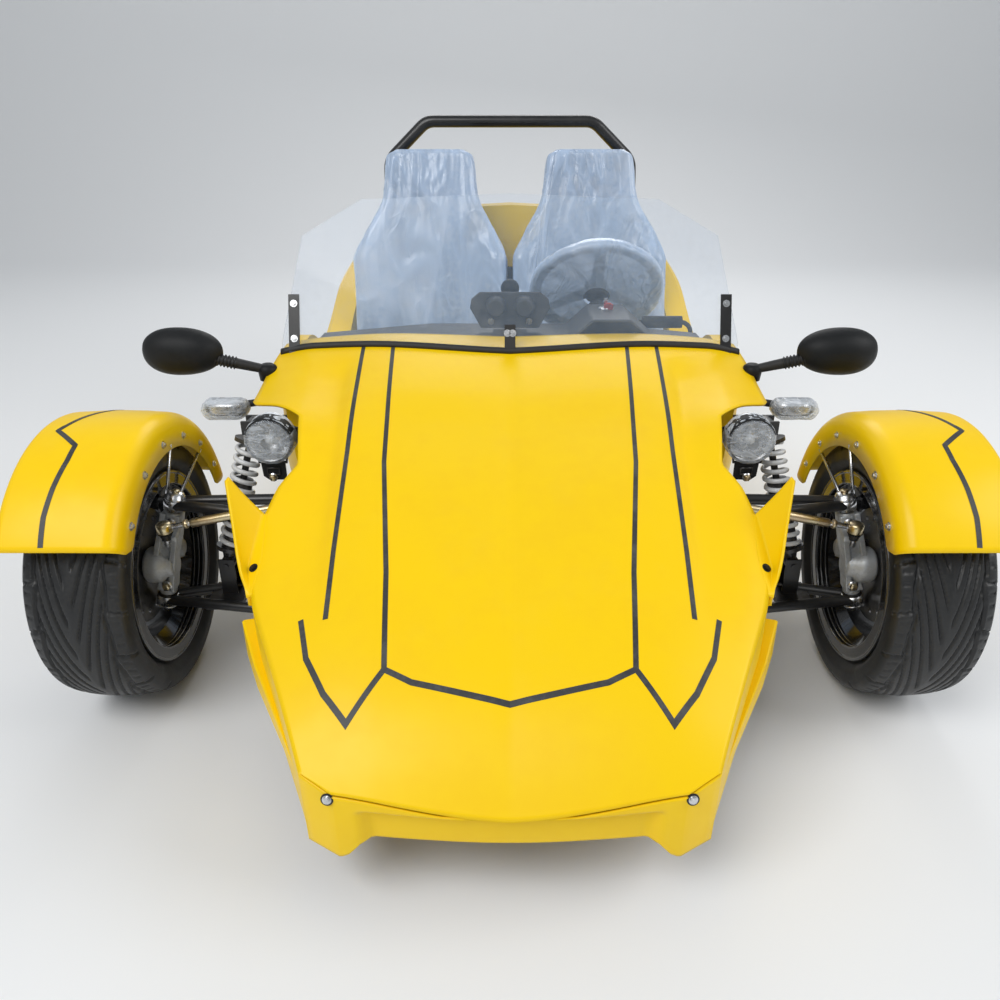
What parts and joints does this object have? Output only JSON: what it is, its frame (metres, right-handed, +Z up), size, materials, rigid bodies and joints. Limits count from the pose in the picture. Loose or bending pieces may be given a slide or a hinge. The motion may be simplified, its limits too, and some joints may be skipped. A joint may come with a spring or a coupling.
{
  "type": "three wheeled open sports car",
  "caption": "Open side-by-side two-seat car with steered front wheels under cycle fenders, a driven rear wheel, a wedge nose, roll hoop and low windscreen.",
  "frame": {"origin": "on the ground at mid-length, on the centre line", "axes": "+Z up, -Y towards the nose, +X towards the driver's side"},
  "size_m": [1.77, 2.776, 1.0869],
  "materials": {
    "body_yellow": "glossy yellow two-pack paint over glass-fibre",
    "frame_black": "satin black powder coat",
    "tyre_rubber": "matt black tyre rubber",
    "rim_black": "satin black painted cast alloy",
    "disc_steel": "turned steel with a dark heat tint",
    "cast_grey": "cast aluminium, lightly sanded",
    "zinc_gold": "yellow passivated zinc plate",
    "spring_white": "white powder coat",
    "damper_black": "black anodised damper body",
    "screen_clear": "clear polycarbonate sheet",
    "plastic_black": "moulded black plastic",
    "plastic_grey": "dark grey moulded plastic",
    "seat_black": "black coated upholstery under clear wrap",
    "lamp_clear": "clear lens over a bright reflector",
    "lamp_red": "red lens",
    "engine_grey": "bead-blasted engine cases",
    "exhaust_steel": "brushed stainless silencer",
    "chain_steel": "oiled steel chain"
  },
  "bodies": {
    "root": {"frame": "frame_black", "roll_bar": "frame_black", "floor_pan": "frame_black", "hood": "body_yellow", "front_valance": "body_yellow", "scoops": "body_yellow", "side_panels": "body_yellow", "rear_body": "body_yellow", "windshield": "screen_clear", "windshield_brackets": "frame_black", "instrument_pod": "plastic_grey", "dashboard": "plastic_grey", "seat_left": "seat_black", "seat_right": "seat_black", "pedals": "frame_black", "gear_lever": "plastic_black", "hand_lever": "plastic_black", "steering_column": "frame_black", "steering_rack": "cast_grey", "upper_arms": "frame_black", "lower_arms": "frame_black", "front_dampers": "damper_black", "front_springs": "spring_white", "rear_dampers": "damper_black", "rear_springs": "spring_white", "headlights": "lamp_clear", "mirrors": "plastic_black", "turn_signals": "lamp_clear", "swing_arm": "frame_black", "chain": "chain_steel", "engine": "engine_grey", "exhaust": "exhaust_steel", "rear_mudguard": "plastic_black", "tail_lamps": "lamp_red", "plate_bracket": "plastic_black"},
    "steering_wheel_body": {"steering_wheel": "plastic_black"},
    "rack_bar": {"tie_rods": "zinc_gold"},
    "upright_left": {"knuckle_left": "cast_grey", "caliper_left": "cast_grey", "fender_left": "body_yellow"},
    "front_wheel_left": {"tyre_front_left": "tyre_rubber", "rim_front_left": "rim_black", "disc_front_left": "disc_steel"},
    "upright_right": {"knuckle_right": "cast_grey", "caliper_right": "cast_grey", "fender_right": "body_yellow"},
    "front_wheel_right": {"tyre_front_right": "tyre_rubber", "rim_front_right": "rim_black", "disc_front_right": "disc_steel"},
    "rear_wheel": {"tyre_rear": "tyre_rubber", "rim_rear": "rim_black", "disc_rear": "disc_steel", "sprocket": "disc_steel"}
  },
  "joints": [
    {"name": "steering", "type": "hinge", "parent": "root", "child": "steering_wheel_body", "pos_m": [0.236, 0.06, 0.663], "axis": [0, 0.788, 0.6157], "range_deg": [-200, 200]},
    {"name": "rack_slide", "type": "slide", "parent": "root", "child": "rack_bar", "axis": [1, 0, 0], "range_m": [-0.0365, 0.0365]},
    {"name": "kingpin_left", "type": "hinge", "parent": "root", "child": "upright_left", "pos_m": [0.725, -0.75, 0.186], "axis": [-0.2364, 0, 0.9717], "range_deg": [-28, 28]},
    {"name": "kingpin_right", "type": "hinge", "parent": "root", "child": "upright_right", "pos_m": [-0.725, -0.75, 0.186], "axis": [0.2364, 0, 0.9717], "range_deg": [-28, 28]},
    {"name": "wheel_spin_left", "type": "hinge", "parent": "upright_left", "child": "front_wheel_left", "pos_m": [0.78, -0.75, 0.2655], "axis": [1, 0, 0], "continuous": true},
    {"name": "wheel_spin_right", "type": "hinge", "parent": "upright_right", "child": "front_wheel_right", "pos_m": [-0.78, -0.75, 0.2655], "axis": [1, 0, 0], "continuous": true},
    {"name": "wheel_spin_rear", "type": "hinge", "parent": "root", "child": "rear_wheel", "pos_m": [0, 1.05, 0.3], "axis": [1, 0, 0], "continuous": true}
  ],
  "couplings": [
    {"joint": "rack_slide", "follows": "steering", "m_per_rad": 0.010455},
    {"joint": "kingpin_left", "follows": "steering", "ratio": 0.13999},
    {"joint": "kingpin_right", "follows": "steering", "ratio": 0.13999}
  ]
}
